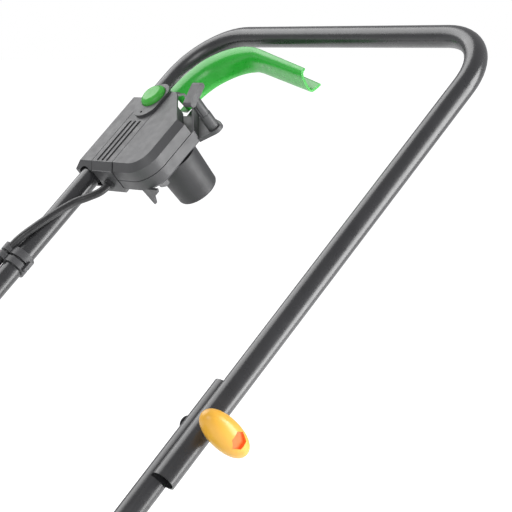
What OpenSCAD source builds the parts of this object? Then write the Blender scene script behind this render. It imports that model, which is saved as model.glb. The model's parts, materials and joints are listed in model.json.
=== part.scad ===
// Corded electric push lawn mower with a folding tube handle and a rear grass box.
// +Z is up, the mower's front faces -Y, and the operator's left hand is on +X.
// The origin is on the ground, below the centre of the whole machine.

/* [Overall] */
// Length from the deck's nose to the back of the grip bar
overall_length = 1260; // [1240:10:1300]
// Height of the grip bar's axis above the ground
handle_height = 940; // [930:5:960]
// Slope of the handle above the horizontal, in degrees
handle_angle = 42.2; // [41.8:0.2:42.6]

/* [Handle tubes] */
// Outer diameter of the tubes
tube_d = 22; // [22:0.2:22.4]
// Wall of the tubes
tube_wall = 1.5; // [1.2:0.1:2]
// Distance between the axes of the upper handle's legs
handle_width = 432.4; // [428:0.4:436]
// Bend radius of the upper handle's corners, on the tube's axis
handle_bend = 68; // [60:1:76]
// Distance between the axes of the two lower tubes
lower_width = 412; // [411:0.5:413]
// Distance from the grip bar to the fold bolts, along the legs
fold_at = 483; // [478:1:488]
// Diameter of the fold bolts
bolt_d = 6; // [5:0.5:6]

/* [Wheels] */
// Diameter of the front wheels
front_wheel_d = 140; // [136:2:144]
// Diameter of the rear wheels
rear_wheel_d = 170; // [166:2:174]
// Width of every tyre
tyre_w = 36; // [32:1:38]
// Distance from the middle plane to the inner face of a tyre
wheel_in = 212; // [211:0.5:213]
// Diameter of the axles
axle_d = 10; // [9:0.5:10]

/* [Cutting] */
// Tip to tip length of the blade
blade_l = 370; // [360:2:374]
// Height of the blade's underside above the ground
blade_z = 52; // [50:1:54]

/* [Switch box] */
// Depth of the box, from its front face to its back face
box_depth = 35; // [34:0.5:36]
// Width of the sloped edge round the front face
box_chamfer = 7; // [5:0.5:8]

/* [Hidden] */
$fn = 64;
fine = 0.05;                 // radial clearance of a running fit
tube_r = tube_d / 2;
half_handle = handle_width / 2;
half_lower = lower_width / 2;
handle_y = overall_length / 2 - tube_r;
nose_to_rotor = 285;         // deck nose to the blade's axis
rotor_y = nose_to_rotor - overall_length / 2;
front_axle_y = -207;         // places on the deck are measured from the blade's axis
rear_axle_y = 225;
front_axle_z = front_wheel_d / 2;
rear_axle_z = rear_wheel_d / 2;
axle_r = axle_d / 2;
bolt_r = bolt_d / 2;

// deck
wall = 3;
skirt_z = 40;
shoulder_z = 95;
roof_z = 120;
chamber_r = 193;
deck_half = 199;
tunnel_half = 128;
tunnel_start = 130;
tunnel_end = 248;
flap_y = 246;
flap_z = 223;
flap_angle = 33;             // the same slope as the front of the grass box lid
flap_length = 92;
flap_half = 122;
socket_top = 1046;           // along the handle
socket_end = 1100;
socket_r = 16;

// grass box, from its mouth to its back
box_y0 = 256;
box_y1 = 606;
box_seam = 212;

// motor
shaft_r = 8;
housing_r = 68;
housing_z0 = roof_z + 0.5;
housing_z1 = 236;
stator_z0 = 146;
stator_z1 = 206;
bearing_h = 12;
bearing_r = 17.5;

// switch box, on the operator's right leg: x across, y down the legs, z away from the front face
box_front = -box_depth / 2 - 0.5;
box_back = box_front + box_depth;
box_left = -232;
box_seam_a = -204.4;         // between the tube cover and the centre band
box_seam_b = -168.7;         // between the centre band and the side cover
box_right = -114.5;
box_end = 218;
box_split = 2;               // between the front covers and the rear shell
skin = 2.5;
pivot = [-176, 119];         // the lever's pivot
button_at = [-186, 116];
inlet_at = [-139, 165];
hook_at = [-106, 124];
box_screw_places = [[-160, 206], [-130, 206], [-196, 136]];
saddle_cut = 211.3;          // the upper leg is cut open inside this distance from the middle
saddle_start = fold_at - 47;
saddle_end = fold_at + 57;
flat_at = 211;               // the lower tube's flat
lower_start = fold_at - 44;
knob_in = 229.2;

green = [0.16, 0.6, 0.22];
dark = [0.16, 0.17, 0.18];
black = [0.05, 0.05, 0.055];
steel = [0.7, 0.71, 0.73];
yellow = [0.92, 0.66, 0.18];

// ---------------------------------------------------------------- frames and helpers

module at_handle() translate([0, handle_y, handle_height]) rotate([180 + handle_angle, 0, 0]) children();
module at_rotor(z = 0) translate([0, rotor_y, z]) children();
module both() { children(); mirror([1, 0, 0]) children(); }
module along_y(r, y0, y1, x = 0, z = 0) translate([x, y0, z]) rotate([-90, 30, 0]) cylinder(r = r, h = y1 - y0);
module along_x(r, x0, x1, y = 0, z = 0) translate([x0, y, z]) rotate([0, 90, 0]) rotate(50) cylinder(r = r, h = x1 - x0);
module disc(r, z0, z1, x = 0, y = 0) translate([x, y, z0]) cylinder(r = r, h = z1 - z0);
module ring(r_out, r_in, z0, z1) difference() {
    disc(r_out, z0, z1);
    disc(r_in, z0 - 1, z1 + 1);
}
module block(low, high) translate(low) cube(high - low);
module plate(z0, z1) translate([0, 0, z0]) linear_extrude(z1 - z0) children();

// the two triangles of each facet between successive rings of n points
function skin_faces(n, last) = [for (i = [0:last - 1]) for (k = [0:n - 1])
    let (a = i * n + k, b = i * n + (k + 1) % n) for (f = [[a, b, b + n], [a, b + n, a + n]]) f];

// a closed tube with round section swept along points
function unit(v) = v / norm(v);
function heading(p, i) = unit(p[min(i + 1, len(p) - 1)] - p[max(i - 1, 0)]);
function side_of(t) = unit(cross(t, abs(t[2]) < 0.9 ? [0, 0, 1] : [1, 0, 0]));
function carried(t, s) = unit(s - t * (s * t));
function sides(p, i = 0, s = undef, out = []) =
    i == len(p) ? out
    : let (t = heading(p, i), n = i == 0 ? side_of(t) : carried(t, s))
        sides(p, i + 1, n, concat(out, [n]));
function spline(p, i, u) =
    let (a = p[max(i - 1, 0)], b = p[i], c = p[i + 1], d = p[min(i + 2, len(p) - 1)])
    b + (c - a) * u / 2 + (2 * a - 5 * b + 4 * c - d) * u * u / 2 + (3 * b - a - 3 * c + d) * u * u * u / 2;
function smooth(p, steps) = concat(
    [for (i = [0:len(p) - 2]) for (k = [0:steps - 1]) spline(p, i, k / steps)], [p[len(p) - 1]]);
module swept(p, r, n = 10) {
    s = sides(p);
    rings = [for (i = [0:len(p) - 1]) let (t = heading(p, i), b = cross(s[i], t))
        for (k = [0:n - 1]) p[i] + r * (cos(360 * k / n) * s[i] + sin(360 * k / n) * b)];
    last = len(p) - 1;
    polyhedron(rings, concat(
        [[for (k = [n - 1:-1:0]) k]], skin_faces(n, last), [[for (k = [0:n - 1]) last * n + k]]));
}

// ---------------------------------------------------------------- deck

module deck_outline(inset = 0) {
    circle(deck_half - inset, $fn = 96);
    for (s = [-1, 1]) {
        translate([s * 120, 60 - nose_to_rotor]) circle(60 - inset);
        translate([s * (deck_half - 30), 212]) circle(30 - inset);
    }
}
module deck_form(inset, drop) hull() {
    plate(skirt_z - drop, skirt_z + 1) deck_outline(inset);
    plate(shoulder_z - 1, shoulder_z - inset) deck_outline(inset);
    plate(roof_z - inset - 1, roof_z - inset) deck_outline(inset + 22);
}
module tunnel_form(inset) hull() {
    block([inset - tunnel_half, tunnel_start - inset / 3, 60 - inset], [tunnel_half - inset, tunnel_start + 1, roof_z - inset]);
    block([inset - tunnel_half, tunnel_end - 1, 102 + inset], [tunnel_half - inset, tunnel_end + inset / 3, 214 - inset]);
}
module deck_mouth() block([-tunnel_half + wall, 20, 40], [tunnel_half - wall, chamber_r + 7, roof_z - wall]);
module socket_solid() {
    at_handle() along_y(socket_r, socket_top, socket_end + 6, half_lower);
    hull() {
        at_rotor() block([172, 122, roof_z - 14], [196, 206, roof_z - 12]);
        at_handle() along_y(9, socket_top + 8, socket_end, half_lower - 6, $fn = 32);
    }
}
module deck_shell() {
    color(green) difference() {
        union() {
            at_rotor() {
                difference() {
                    union() {
                        deck_form(0, 0);
                        tunnel_form(0);
                    }
                    deck_form(wall, 1);
                    tunnel_form(wall);
                }
                difference() {
                    union() {
                        ring(chamber_r + 4, chamber_r, skirt_z + 2, shoulder_z - 2);
                        intersection() {
                            ring(chamber_r + 4, chamber_r, skirt_z + 2, roof_z - 2);
                            block([-150, -300, 0], [150, -120, 200]);
                        }
                    }
                    deck_mouth();
                }
                disc(44, roof_z - 6, roof_z - 1);
                both() {
                    along_x(12, 150, 206, front_axle_y, front_axle_z);
                    along_x(12, 178, 206, rear_axle_y, rear_axle_z);
                    block([100, flap_y - 8, 205], [112, flap_y + 6, flap_z + 4]);
                    for (y = [-70, 60]) disc(6, roof_z - 14, roof_z, 118, y);
                }
            }
            both() socket_solid();
        }
        at_rotor() {
            disc(30, roof_z - 20, roof_z + 1);
            along_x(axle_r + 0.1, -260, 260, front_axle_y, front_axle_z);
            along_x(axle_r + 0.1, -260, 260, rear_axle_y, rear_axle_z);
            along_x(2.55, -130, 130, flap_y, flap_z);
            both() for (y = [-70, 60]) disc(2.05, roof_z - 15, roof_z + 1, 118, y);
        }
        both() at_handle() {
            along_y(tube_r + fine, socket_top - 1, socket_end + 0.2, half_lower);
            along_x(2.55, 180, 230, socket_end - 25);
        }
    }
}
module cover_outline(inset = 0) {
    circle(126 - inset);
    translate([0, -92]) circle(96 - inset);
}
module cover_form(inset) hull() {
    plate(roof_z + 0.3 - inset / 3, roof_z + 2) cover_outline(inset);
    plate(roof_z + 70, roof_z + 71) cover_outline(4 + inset);
    plate(roof_z + 125, roof_z + 126) cover_outline(26 + inset);
    plate(roof_z + 149 - inset, roof_z + 150 - inset) cover_outline(62);
}
module motor_cover() color(dark) at_rotor() difference() {
    union() {
        difference() {
            cover_form(0);
            cover_form(wall);
        }
        both() for (y = [-70, 60]) difference() {
            disc(9, roof_z + 0.3, roof_z + 8, 118, y);
            cover_form(wall);
        }
    }
    both() for (i = [0:6]) block([90, -78 + 20 * i, roof_z + 36], [140, -71 + 20 * i, roof_z + 92]);
    for (i = [-3:3]) block([16 * i - 3, -200, roof_z + 40], [16 * i + 3, -150, roof_z + 84]);
    both() for (y = [-70, 60]) {
        disc(2.05, roof_z, roof_z + 9, 118, y);
        disc(4.5, roof_z + 5.6, roof_z + 12, 118, y);
    }
    translate([-105, 65, roof_z + 31]) rotate([0, 132.6, -41]) cylinder(r = 6, h = 44, center = true);
}
module chassis_screws() color(steel) {
    at_rotor() both() for (y = [-70, 60]) {
        disc(2, roof_z - 12, roof_z + 5.7, 118, y);
        disc(4, roof_z + 5.7, roof_z + 8.4, 118, y);
    }
    both() at_handle() {
        along_x(2.5, 189, 222.5, socket_end - 25);
        along_x(4.5, 222.3, 225, socket_end - 25);
    }
}
module axle(y, z) at_rotor() along_x(axle_r, -243, 243, y, z);
module front_axle() color(steel) axle(front_axle_y, front_axle_z);
module rear_axle() color(steel) axle(rear_axle_y, rear_axle_z);
module axle_clips() color(steel) at_rotor() both()
    for (p = [[front_axle_y, front_axle_z], [rear_axle_y, rear_axle_z]])
        translate([239.5, p[0], p[1]]) rotate([0, 90, 0]) difference() {
            cylinder(r = 9, h = 1.2);
            translate([0, 0, -1]) cylinder(r = axle_r + 0.02, h = 4);
            translate([0, -2.5, -1]) cube([12, 5, 4]);
        }

// ---------------------------------------------------------------- motor and blade

module motor_housing() color(steel) at_rotor() {
    difference() {
        disc(housing_r, housing_z0, housing_z1);
        disc(housing_r - 3, housing_z0 + 20, housing_z1 - 18);
        disc(46, housing_z0 + 14, housing_z1 - 13);
        disc(bearing_r + 0.02, housing_z0 + 6, housing_z0 + 30);
        disc(bearing_r + 0.02, housing_z1 - 30, housing_z1 - 5);
        disc(shaft_r + 3, 100, 300);
    }
}
module motor_stator() color([0.55, 0.33, 0.2]) at_rotor() difference() {
    union() {
        disc(housing_r - 3.1, stator_z0, stator_z1);
        disc(60, stator_z0 - 5, stator_z1 + 12);
    }
    disc(41, 100, 300);
}
module bearings() color(steel) at_rotor() {
    ring(bearing_r, shaft_r + 0.04, housing_z0 + 6.2, housing_z0 + 6.2 + bearing_h);
    ring(bearing_r, shaft_r + 0.04, housing_z1 - 5.2 - bearing_h, housing_z1 - 5.2);
}
module capacitor() color("white") at_rotor(roof_z + 40) {
    along_x(17, -38, 38, -128);
    block([-42, -146, -39.8], [-38.2, -112, 14]);
    block([38.2, -146, -39.8], [42, -112, 14]);
}
module rotor_shaft() color(steel) at_rotor() difference() {
    disc(shaft_r, blade_z + 8, 256);
    disc(4.05, 0, blade_z + 32);
}
module rotor_core() color([0.5, 0.5, 0.52]) at_rotor() ring(40.2, shaft_r + 0.02, stator_z0, stator_z1);
module cooling_fan() color(black) at_rotor() {
    ring(15, shaft_r + 0.05, housing_z1 + 3, 254);
    ring(56, 14, housing_z1 + 3, housing_z1 + 5);
    for (a = [0:40:359]) rotate(a) block([14, -1, housing_z1 + 4], [55, 1, 252]);
}
module blade_carrier() color(black) at_rotor() difference() {
    union() {
        disc(34, blade_z + 4.1, blade_z + 10);
        disc(17, blade_z + 9, roof_z - 10);
        for (a = [0:30:359]) rotate(a) block([15, -1.5, blade_z + 9], [26, 1.5, roof_z - 22]);
    }
    disc(shaft_r + 0.05, blade_z + 8, 300);
    disc(4.3, 0, 300);
}
module blade_tip() difference() {
    union() {
        block([60, -25, blade_z], [blade_l / 2, 25, blade_z + 4]);
        translate([118, 18, blade_z]) rotate([32, 0, 0]) cube([blade_l / 2 - 124, 26, 3.6]);
    }
    translate([100, -25, blade_z + 0.6]) rotate([24, 0, 0]) translate([0, -12, 0]) cube([100, 30, 12]);
    translate([60, 30, blade_z - 1]) rotate([0, 0, -16]) cube([60, 30, 9]);
}
module blade() color([0.42, 0.44, 0.47]) at_rotor() difference() {
    union() {
        block([-62, -25, blade_z], [62, 25, blade_z + 4]);
        blade_tip();
        rotate(180) blade_tip();
    }
    disc(4.3, 0, 300);
}
module blade_bolt() color(steel) at_rotor() {
    disc(4, blade_z - 3, blade_z + 30);
    disc(15, blade_z - 3.2, blade_z - 0.1);
    translate([0, 0, blade_z - 9]) cylinder(r = 7.5, h = 6, $fn = 6);
}

// ---------------------------------------------------------------- wheels

module wheel_at(side, y, z) at_rotor() translate([side * wheel_in, y, z]) rotate([0, side * 90, 0]) children();
module tyre(r) color(black) {
    rotate_extrude($fn = 96) polygon([
        [r - 11, 3], [r - 5, 0.5], [r - 1.5, 4], [r, 11], [r, tyre_w - 11],
        [r - 1.5, tyre_w - 4], [r - 5, tyre_w - 0.5], [r - 11, tyre_w - 3]]);
}
module rim(r) color(dark) difference() {
    union() {
        ring(r - 11.05, r - 15, 3, tyre_w - 3);
        ring(r - 14, 12, 14, 18);
        disc(14, -4, 25);
        for (a = [0:45:359]) rotate(a) block([13, -2, 7], [r - 14, 2, 25]);
    }
    disc(axle_r + fine, -10, 60);
    ring(r - 16, 22, 22, 40);
    for (a = [22.5:45:359]) rotate(a) disc(7, 0, 40, (r + 2) / 2);
}
module cap(r) color(green) difference() {
    rotate_extrude() polygon([[0, 25.2], [21, 25.2], [21, 31], [18, 34.5], [0, 36]]);
    disc(16, 20, 33);
    disc(13, 25.1, 33.5);
}

module front_left_tyre() wheel_at(1, front_axle_y, front_axle_z) tyre(front_axle_z);
module front_left_rim() wheel_at(1, front_axle_y, front_axle_z) rim(front_axle_z);
module front_left_cap() wheel_at(1, front_axle_y, front_axle_z) cap(front_axle_z);
module front_right_tyre() wheel_at(-1, front_axle_y, front_axle_z) tyre(front_axle_z);
module front_right_rim() wheel_at(-1, front_axle_y, front_axle_z) rim(front_axle_z);
module front_right_cap() wheel_at(-1, front_axle_y, front_axle_z) cap(front_axle_z);
module rear_left_tyre() wheel_at(1, rear_axle_y, rear_axle_z) tyre(rear_axle_z);
module rear_left_rim() wheel_at(1, rear_axle_y, rear_axle_z) rim(rear_axle_z);
module rear_left_cap() wheel_at(1, rear_axle_y, rear_axle_z) cap(rear_axle_z);
module rear_right_tyre() wheel_at(-1, rear_axle_y, rear_axle_z) tyre(rear_axle_z);
module rear_right_rim() wheel_at(-1, rear_axle_y, rear_axle_z) rim(rear_axle_z);
module rear_right_cap() wheel_at(-1, rear_axle_y, rear_axle_z) cap(rear_axle_z);

// ---------------------------------------------------------------- flap and grass box

module at_flap() at_rotor() translate([0, flap_y, flap_z]) rotate([flap_angle, 0, 0]) children();
module flap_pin() color(steel) at_rotor() along_x(2.5, -126, 126, flap_y, flap_z);
module flap_spring() color(steel) at_rotor()
    for (i = [0:7]) translate([84 + 1.9 * i, flap_y, flap_z]) rotate([0, 90, 0])
        rotate_extrude($fn = 32) translate([4.4, 0]) circle(0.9, $fn = 16);
module across(x0, x1) translate([x0, 0, 0]) rotate([90, 0, 90]) linear_extrude(x1 - x0) children();
module rear_flap() color(green) at_flap() difference() {
    union() {
        across(-flap_half, flap_half) polygon([
            [9, -1.5], [flap_length - 5, -1.5], [flap_length - 3, -5], [flap_length, -5], [flap_length, 1.5], [9, 1.5]]);
        for (x = [-97, -58, 46]) across(x, x + 22) {
            circle(5.5);
            polygon([[0, -2.5], [14, -2.5], [17, -1], [17, 1], [14, 2.5], [0, 2.5]]);
        }
        both() for (x = [36, 112]) across(x, x + 3)
            polygon([[12, 0], [12, -6], [16, -7], [flap_length - 9, -7], [flap_length - 7, -4], [flap_length - 7, 0]]);
    }
    along_x(2.5 + fine, -130, 130);
}

module basket_form(inset) hull() {
    block([inset - 152, box_y0 + 14 + inset, 92 + inset], [152 - inset, box_y1 - 24 - inset, 94 + inset]);
    block([inset - 170, box_y0 + inset, box_seam - 2], [170 - inset, box_y1 - inset, box_seam + inset / 3]);
}
module grass_box_basket() color(dark) at_rotor() difference() {
    union() {
        basket_form(0);
        block([-173, box_y0, box_seam - 8], [173, box_y1 + 3, box_seam]);
    }
    basket_form(wall);
    block([-116, box_y0 - 20, 104], [116, box_y0 + 40, 204]);
    for (i = [0:8]) both() block([140, box_y0 + 60 + 28 * i, 120], [180, box_y0 + 72 + 28 * i, 190]);
    for (i = [-5:5]) block([26 * i - 6, box_y1 - 60, 120], [26 * i + 6, box_y1 + 10, 190]);
}
module lid_form(inset) hull() {
    block([inset - 173, box_y0 + inset, box_seam + 0.3 - inset / 3], [173 - inset, box_y1 + 3 - inset, box_seam + 6]);
    block([inset - 150, box_y0 + 120, 294], [150 - inset, box_y1 - 22 - inset, 296 - inset / 2]);
    block([inset - 120, box_y0 + 165, 316 - inset], [120 - inset, box_y1 - 50 - inset, 318 - inset]);
}
module grass_box_lid() color(green) at_rotor() difference() {
    lid_form(0);
    lid_form(wall);
    for (i = [-4:4]) block([22 * i - 5, box_y1 - 90, 240], [22 * i + 5, box_y1 + 10, 276]);
}
module grass_box_grip() color(dark) at_rotor() {
    both() block([50, 452, 318.2], [64, 482, 352]);
    both() block([50, 452, 351], [64, 482, 356]);
    along_x(10, -64, 64, 467, 354);
}

// ---------------------------------------------------------------- handle tubes

module u_rod(r, end) {
    straight = half_handle - handle_bend;
    translate([-straight, 0, 0]) rotate([0, 90, 0]) rotate(90) cylinder(r = r, h = 2 * straight);
    both() {
        translate([straight, handle_bend, 0]) rotate(-90) rotate_extrude(angle = 90, $fn = 96)
            translate([handle_bend, 0]) rotate(180) circle(r);
        translate([half_handle, handle_bend, 0]) rotate([-90, 0, 0]) rotate(180) cylinder(r = r, h = end - handle_bend);
    }
}
module upper_handle_tube() color(black) at_handle() difference() {
    u_rod(tube_r, saddle_end);
    u_rod(tube_r - tube_wall, saddle_end + 1);
    both() {
        block([saddle_cut - 20, saddle_start, -20], [saddle_cut, saddle_end + 1, 20]);
        along_x(bolt_r + 0.1, 200, 240, fold_at);
    }
}
module flat_rod(r, x_flat, end) difference() {
    along_y(r, lower_start, end, half_lower);
    block([x_flat, lower_start - 1, -20], [x_flat + 20, fold_at + 60, 20]);
}
module lower_tube() difference() {
    flat_rod(tube_r, flat_at, socket_end);
    difference() {
        flat_rod(tube_r - tube_wall, flat_at - tube_wall, socket_end + 1);
        block([180, 0, -20], [230, lower_start + 1.5, 20]);
    }
    along_x(bolt_r + 0.1, 180, 230, fold_at);
    along_x(2.6, 180, 230, socket_end - 25);
}
module lower_tube_left() color(black) at_handle() lower_tube();
module lower_tube_right() color(black) mirror([1, 0, 0]) at_handle() lower_tube();
module clamp_bolts() color(steel) both() at_handle() {
    along_x(bolt_r, 194.4, 243, fold_at);
    difference() {
        translate([198, fold_at, 0]) sphere(r = 8.6);
        block([194.8, fold_at - 20, -20], [220, fold_at + 20, 20]);
    }
}
module clamp_washers() color(steel) both() at_handle() translate([half_handle + tube_r + 0.1, fold_at, 0])
    rotate([0, 90, 0]) ring(9, bolt_r + 0.1, 0, 1.5);
knob_half = 29.5;            // half of the knob's length
knob_mid = knob_in + 15;
knob_tilt = 6;
module knob() difference() {
    union() {
        hull() for (k = [-4:4]) {
            z = knob_half * 0.86 * sin(k * 90 / 4);
            r = 14.2 * sqrt(1 - pow(z / knob_half, 2)) * 0.97;
            translate([knob_mid, 0, z]) sphere(r = r, $fn = 32);
        }
        along_x(8.5, knob_in, knob_mid);
    }
    along_x(bolt_r + fine, knob_in - 1, knob_in + 15);
    along_x(7.4, knob_mid + 9, knob_mid + 30, 0, 7, $fn = 6);
}
module knob_left() color(yellow) at_handle() translate([0, fold_at, 0]) rotate([knob_tilt, 0, 0]) knob();
module knob_right() color(yellow) mirror([1, 0, 0]) at_handle() translate([0, fold_at, 0]) rotate([knob_tilt, 0, 0]) knob();

// ---------------------------------------------------------------- switch box

c = box_chamfer;
module side_outline(inset) offset(delta = -inset) difference() {
    union() {
        polygon([
            [box_seam_b - 40, 100], [-160, 98], [-148, 105], [box_right, 141], [box_right, 190],
            [-141.5, 190], [-141.5, box_end], [box_seam_b - 40, box_end]]);
        translate([box_right - 27, box_end - 27]) circle(27);
    }
}
module side_form(inset) intersection() {
    hull() {
        plate(box_front + inset, box_front + inset + 0.5) side_outline(c + inset / 2);
        plate(box_front + c, box_back - 3) side_outline(inset);
        plate(box_back - 1 - inset, box_back - inset) side_outline(3 + inset);
    }
}
seam_w = 2.4;
gap = 0.8;                   // width of the open seams between the covers
// room for the root of the lever to swing in
module lever_room() block([-172, 80, -14.5], [-157.5, 108, 14.2]);
module corner_cut(z0, z1, grow) plate(z0, z1) offset(delta = grow)
    polygon([[-156.5, 80], [-156.5, 108], [-122, 145], [-90, 146], [-90, 80]]);
module box_side_cover() color(dark) at_handle() difference() {
    side_form(0);
    difference() {
        side_form(skin);
        difference() {
            corner_cut(-60, 60, 7);
            corner_cut(-70, 70, 4);
            block([-260, 0, -60], [0, 118, 60]);
        }
    }
    block([-260, 0, -60], [box_seam_b + gap, 300, 60]);
    block([-260, 0, box_split - gap], [0, 300, 60]);
    corner_cut(-60, 60, 0);
    lever_room();
    block([box_seam_b, box_end - c, -60], [box_seam_b + seam_w, 300, box_front + c + 4]);
}
module box_rear_shell() color(dark) at_handle() difference() {
    union() {
        difference() {
            side_form(0);
            side_form(skin);
            block([-260, 0, -60], [box_seam_b + gap, 300, 60]);
            block([-260, 0, -60], [0, 300, box_split]);
            lever_room();
        }
        block([box_seam_a + 1, 108, box_back - skin], [box_seam_b + 1.6, box_end - 14, box_back]);
        hull() plate(12.05, box_back - 0.5) {
            translate(hook_at) circle(9);
            polygon([[-151, 101], [-146.5, 107], [-116, 140], [-114.6, 143]]);
        }
        translate([-124, 0, 0]) rotate([90, 0, 90]) linear_extrude(3)
            polygon([[196, 15], [207, 15], [206, 20], [202, 23], [196, 23]]);
        translate([0, 216, 0]) rotate([90, 0, 0]) linear_extrude(3) polygon([
            [-142, 14], [-139, 36], [-137, 36], [-131, 26], [-119, 19], [-116, 14]]);
    }
    disc(18, 0, 40, inlet_at[0], inlet_at[1]);
    disc(3.02, 0, 40, pivot[0], pivot[1]);
    for (p = box_screw_places) {
        disc(1.55, 0, 40, p[0], p[1]);
        disc(3.05, box_back - 1.3, 40, p[0], p[1]);
    }
}
module box_tube_cover() color(dark) at_handle() difference() {
    hull() {
        block([box_left + c, 113 + 2, box_front], [box_seam_a, box_end - c, box_front + 1]);
        block([box_left, 113, box_front + c], [box_seam_a, box_end, box_back - 5]);
        block([box_left + 5, 116, box_back - 1], [box_seam_a, box_end - 3, box_back]);
    }
    block([box_left + skin, 113 + skin, box_front + skin + 3], [box_seam_a + 1, box_end - skin - 11, box_back - skin]);
    along_y(tube_r + 0.1, 100, 230, -half_handle);
    along_y(tube_r + 2.5, box_end - 7, 230, -half_handle);
    block([-half_handle - 8, box_end - 7, 0], [-half_handle + 13.5, 230, 13]);
}
module band_form(inset) {
    hull() {
        plate(box_front + inset, box_front + inset + 0.5) translate([box_seam_a + gap, 107]) square([35, box_end - c - 107]);
        plate(box_front + c, box_split - gap + inset) translate([box_seam_a + gap, 107]) square([35, box_end - 107 - inset]);
    }
}
module box_centre_band() color(dark) at_handle() difference() {
    union() {
        band_form(0);
        hull() plate(box_front - 3, box_split - gap) for (y = [114, 128])
            translate([button_at[0] + 0.5, y]) circle(17.3);
        block([-202.5, box_end - 13, box_front + c], [box_seam_b - 0.2, box_end + 0.6, box_back + 2]);
    }
    block([-201.5, 60, box_front + skin], [-166, box_end - 15.5, 60]);
    block([-201.5, 60, box_front + skin - 2.6], [-172, 128, 60]);
    block([box_seam_b, 60, -60], [-100, 250, 60]);
    block([-199.5, box_end - 16, 0], [box_seam_b - 3, box_end - 2.5, box_back - 0.5]);
    for (x = [-195, -187, -179]) hull() {
        plate(box_front - 1, box_front + 1.2) translate([x, 152]) circle(2, $fn = 24);
        plate(box_front - 1, box_front + 1.2) translate([x, 208]) circle(2, $fn = 24);
    }
    disc(15, -40, box_front + 3, button_at[0], button_at[1]);
    disc(1.5, -40, box_front + 1, button_at[0] + 0.5, 139.5);
    along_y(6.1, 200, 240, -186, 6);
    along_x(bolt_r, -210, -205, 150);
}
module box_screws() color(steel) at_handle() for (p = box_screw_places) {
    disc(1.5, box_split + 4, box_back - 1.2, p[0], p[1]);
    disc(3, box_back - 1.2, box_back + 0.8, p[0], p[1]);
}
module at_inlet() at_handle() translate([inlet_at[0], inlet_at[1], box_back]) children();
module inlet_shroud() color(black) at_inlet() difference() {
    union() {
        rotate_extrude() polygon([[0, 0.1], [25.2, 0.1], [22.8, 47], [22, 48.6], [20.5, 49.2], [0, 49.2]]);
        disc(17.5, -9, 1);
    }
    disc(19, 16, 100);
    for (s = [-1, 1]) disc(2.82, -20, 20, 9.5 * s);
}
module inlet_pins() color("gold") at_inlet() for (s = [-1, 1]) {
    disc(2.8, -16, 16, 9.5 * s);
    disc(2.4, 15, 35, 9.5 * s);
}
module cable_hook() color(dark) at_handle() translate([hook_at[0], hook_at[1], 0]) {
    disc(6.5, -6, 12);
    difference() {
        disc(6, -27, -5);
        for (x = [-3, 0, 3]) block([x - 0.7, -7, -25], [x + 0.7, 7, -7]);
    }
    hull() {
        along_x(3.6, -6.5, 6.5, -13, -33);
        along_x(3.6, -6.5, 6.5, 7, -27);
    }
}
module micro_switch() color(black) at_handle() {
    block([-160, 150, -11], [-140, 178, 0.5]);
    block([-157, 144, -7], [-151, 150, -3]);
}
module lever_pin() color(steel) at_handle() disc(3, box_front + 4.2, box_back - 0.3, pivot[0], pivot[1]);
module cable_gland() color(black) at_handle() difference() {
    along_y(6, box_end - 12, box_end + 4.5, -186, 6);
    along_y(4.3, box_end - 13, box_end + 6, -186, 6);
}

// ---------------------------------------------------------------- motor cable

cable_r = 4.25;
clip_at = 342;
cable_side = [-224.5, -13.2];
bend_half = 40;
upper_route = [
    [-186, 206, 6], [-186, 222, 6], [-187.5, 234, 4.5], [-193, 246, 0.5], [-199, 257, -3.5], [-202.5, 271, -7.5],
    [-206, 288, -11.5], [-210.5, 306, -14.6], [-217, 324, -15.8], [-224.5, 342, -13.2], [-227, 360, -12],
    [-222, 380, -16], [-208, 400, -18.5], [-193, 416, -14], [-184.5, 429, -5], [-183, 441, 0]];
bend_route = [for (k = [0:8]) [-183, fold_at + (bend_half - fine) * (k / 4 - 1), 0]];
lower_route = [
    [-183, 525, 0], [-185, 560, 0], [-190.5, 600, 0], [-190.6, 630, 0], [-190.6, 700, 0], [-190.6, 800, 0], [-190.6, 900, 0],
    [-190.6, 1000, 0], [-187, 1035, -4], [-176, 1068, -14], [-160, 1100, -22], [-142, 1135, -26],
    [-126, 1165, -25], [-112, 1187, -21], [-98, 1206, -16]];
module cable_upper() color(black) at_handle() swept(concat(smooth(upper_route, 3), [[-183, fold_at - bend_half, 0]]), cable_r);
module cable_bend() color(black) at_handle() swept(bend_route, cable_r);
module cable_lower() color(black) at_handle() swept(concat([[-183, fold_at + bend_half, 0]], smooth(lower_route, 3)), cable_r);
module clip(l, x, dx, dz, w) difference() {
    union() {
        along_y(tube_r + 2.6, l - w / 2, l + w / 2, x);
        along_y(cable_r + 2.4, l - w / 2, l + w / 2, x + dx, dz);
    }
    along_y(tube_r + 0.05, l - w, l + w, x);
    along_y(cable_r + 0.05, l - w, l + w, x + dx, dz);
}
module cable_clip_upper() color(dark) at_handle() {
    dx = cable_side[0] + half_handle;
    clip(clip_at - 4.6, -half_handle, dx, cable_side[1], 9);
    clip(clip_at + 6, -half_handle, dx, cable_side[1], 7);
    block([-half_handle + 11.5, clip_at - 4, 2], [-half_handle + 17, clip_at + 8, 5]);
}
module cable_clips_lower() color(dark) at_handle()
    for (l = [640, 800, 960]) clip(l, -half_lower, 15.4, 0, 9);

// ---------------------------------------------------------------- lever and lock

lever_path = [
    [-171.5, 104], [-169.3, 88], [-166, 75], [-158, 60], [-144, 48], [-128, 40.5], [-111, 37.8], [-96, 39.2],
    [-60, 49.2], [-24, 59.3], [0, 66]];
lever_width = [2, 2.2, 2.3, 2.5, 2.3, 1.9, 1.5, 1.25, 1.1, 1, 0.9];
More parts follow.
